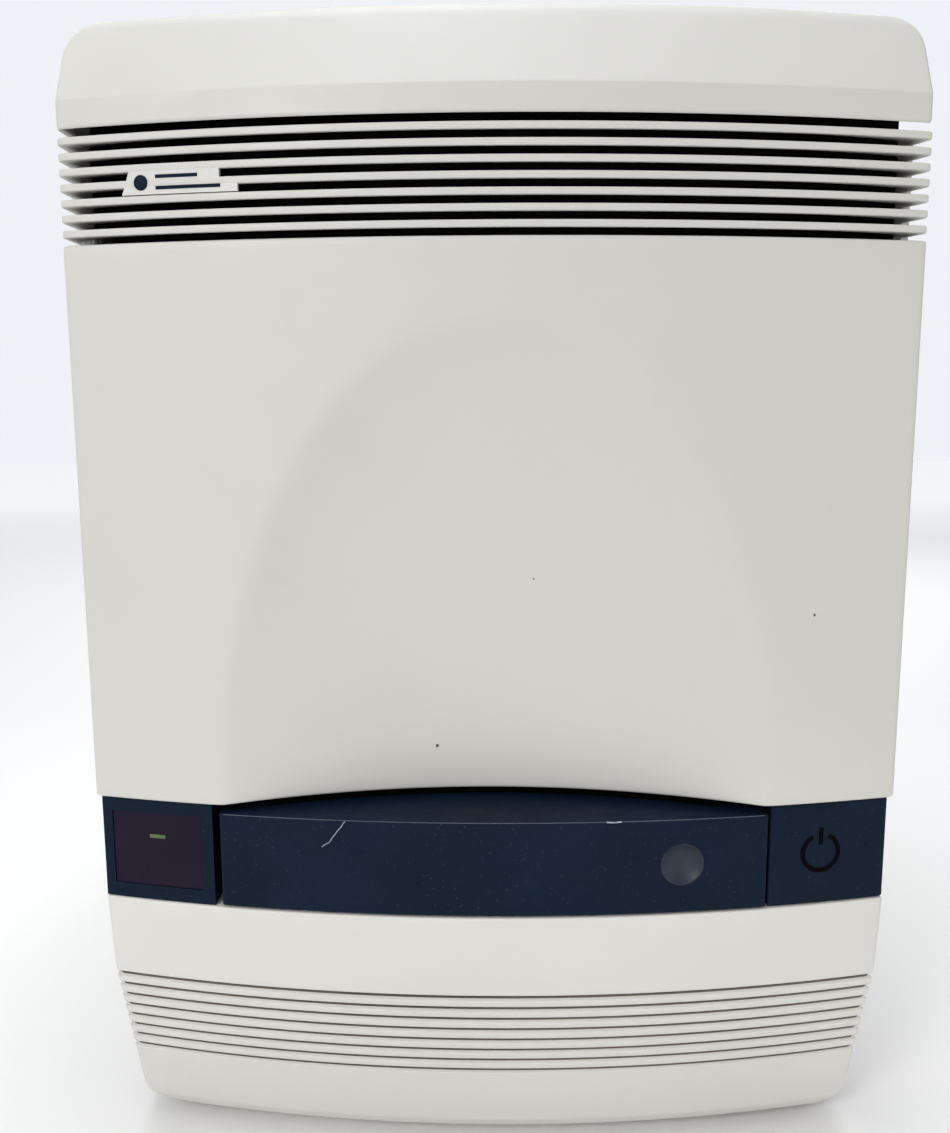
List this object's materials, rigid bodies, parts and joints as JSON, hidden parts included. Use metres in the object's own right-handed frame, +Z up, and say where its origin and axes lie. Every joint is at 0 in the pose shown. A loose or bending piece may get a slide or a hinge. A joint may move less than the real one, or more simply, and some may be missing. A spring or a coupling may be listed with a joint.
{
  "type": "thermal cycler",
  "caption": "Benchtop real-time thermal cycler with a sliding sample tray, scooped access door, heated cover and optics.",
  "frame": {"origin": "middle of the footprint, at the surface the instrument stands on", "axes": "+Z up; the bowed front with the sample drawer faces -Y; +X is to the right of someone facing it"},
  "size_m": [0.34, 0.45, 0.49],
  "materials": {
    "beige_plastic": "fine satin texture",
    "navy_plastic": "satin, dark blue",
    "smoked_window": "smoked, glossy",
    "green_lamp": "lit green",
    "badge_metal": "satin plate",
    "rubber_feet": "matt",
    "black_plastic": "matt black",
    "zinc_steel": "zinc plated",
    "machined_aluminium": "machined",
    "white_ceramic": "white",
    "brass": "turned",
    "belt_rubber": "matt",
    "optical_glass": "clear coated",
    "green_board": "green board"
  },
  "bodies": {
    "chassis": {"base_pan": "zinc_steel", "feet": "rubber_feet", "inner_frames": "zinc_steel", "deck_plate": "zinc_steel", "optics_shelf": "zinc_steel", "camera_bridge": "zinc_steel", "lower_bezel": "beige_plastic", "control_surround": "navy_plastic", "status_window": "smoked_window", "status_lamp": "green_lamp", "front_grille": "beige_plastic", "grille_baffle": "black_plastic", "badge_plate": "badge_metal", "hood": "beige_plastic", "side_panel_left": "beige_plastic", "side_panel_right": "beige_plastic", "rear_panel": "beige_plastic", "panel_screws": "zinc_steel", "hinge_pins": "zinc_steel", "door_catch": "black_plastic", "rails_fixed": "zinc_steel", "latch_housing": "black_plastic", "sample_block": "machined_aluminium", "peltier_modules": "white_ceramic", "heat_sink": "machined_aluminium", "block_fan": "black_plastic", "guide_posts": "zinc_steel", "drive_belt": "belt_rubber", "screw_motor": "black_plastic", "optics_housing": "black_plastic", "field_lens": "optical_glass", "beam_splitter": "optical_glass", "wheel_motors": "black_plastic", "lamp_housing": "zinc_steel", "halogen_lamp": "optical_glass", "camera_unit": "black_plastic", "power_supply": "zinc_steel", "main_board": "green_board", "exhaust_fans": "black_plastic", "mains_inlet": "black_plastic", "usb_port": "zinc_steel"},
    "tray": {"tray_frame": "zinc_steel", "drawer_front": "navy_plastic", "nest_springs": "zinc_steel"},
    "tray_rails": {"rails_middle": "zinc_steel"},
    "nest": {"plate_nest": "black_plastic"},
    "cover": {"heated_cover": "machined_aluminium", "cover_carriage": "machined_aluminium"},
    "screw_left": {"lead_screw_left": "brass"},
    "screw_right": {"lead_screw_right": "brass"},
    "door": {"access_door": "beige_plastic", "door_frame": "zinc_steel"},
    "button": {"power_button": "navy_plastic"},
    "latch": {"latch_plunger": "white_ceramic"},
    "exc_wheel": {"excitation_wheel": "black_plastic"},
    "em_wheel": {"emission_wheel": "black_plastic"},
    "block_rotor": {"block_fan_rotor": "black_plastic"},
    "rotor_left": {"exhaust_rotor_left": "black_plastic"},
    "rotor_right": {"exhaust_rotor_right": "black_plastic"},
    "lever": {"lamp_lever": "black_plastic"}
  },
  "joints": [
    {"name": "tray_slide", "type": "slide", "parent": "chassis", "child": "tray", "axis": [0, -1, 0], "range_m": [0, 0.18]},
    {"name": "rails_slide", "type": "slide", "parent": "chassis", "child": "tray_rails", "axis": [0, -1, 0], "range_m": [0, 0.09]},
    {"name": "nest_press", "type": "slide", "parent": "tray", "child": "nest", "axis": [0, 0, -1], "range_m": [0, 0.014], "deforming": ["nest_springs"]},
    {"name": "cover_lower", "type": "slide", "parent": "chassis", "child": "cover", "axis": [0, 0, -1], "range_m": [0, 0.014]},
    {"name": "screw_left_turn", "type": "hinge", "parent": "chassis", "child": "screw_left", "pos_m": [-0.128, 0.005, 0.15], "axis": [0, 0, 1], "range_deg": [0, 1270]},
    {"name": "screw_right_turn", "type": "hinge", "parent": "chassis", "child": "screw_right", "pos_m": [0.128, 0.005, 0.15], "axis": [0, 0, 1], "range_deg": [0, 1270]},
    {"name": "door_hinge", "type": "hinge", "parent": "chassis", "child": "door", "pos_m": [-0.162, -0.196, 0.29], "axis": [0, 0, -1], "range_deg": [0, 100]},
    {"name": "power_press", "type": "slide", "parent": "chassis", "child": "button", "axis": [0, 1, 0], "range_m": [0, 0.0025], "stiffness_N_per_m": 600},
    {"name": "latch_push", "type": "slide", "parent": "chassis", "child": "latch", "axis": [0, 1, 0], "range_m": [0, 0.004], "stiffness_N_per_m": 500},
    {"name": "lamp_release", "type": "hinge", "parent": "chassis", "child": "lever", "pos_m": [0.044, -0.175, 0.3], "axis": [1, 0, 0], "range_deg": [0, 40]},
    {"name": "excitation_index", "type": "hinge", "parent": "chassis", "child": "exc_wheel", "pos_m": [0.035, -0.119, 0.33], "axis": [0, 1, 0], "continuous": true},
    {"name": "emission_index", "type": "hinge", "parent": "chassis", "child": "em_wheel", "pos_m": [0, -0.026, 0.386], "axis": [0, 0, 1], "continuous": true},
    {"name": "block_fan_spin", "type": "hinge", "parent": "chassis", "child": "block_rotor", "pos_m": [0, 0.022, 0.058], "axis": [0, 1, 0], "continuous": true},
    {"name": "exhaust_left_spin", "type": "hinge", "parent": "chassis", "child": "rotor_left", "pos_m": [-0.07, 0.206, 0.33], "axis": [0, 1, 0], "continuous": true},
    {"name": "exhaust_right_spin", "type": "hinge", "parent": "chassis", "child": "rotor_right", "pos_m": [0.07, 0.206, 0.33], "axis": [0, 1, 0], "continuous": true}
  ],
  "couplings": [
    {"joint": "rails_slide", "follows": "tray_slide", "ratio": 0.5},
    {"joint": "nest_press", "follows": "cover_lower", "ratio": 1},
    {"joint": "screw_left_turn", "follows": "cover_lower", "rad_per_m": 1570.8},
    {"joint": "screw_right_turn", "follows": "cover_lower", "rad_per_m": 1570.8}
  ]
}
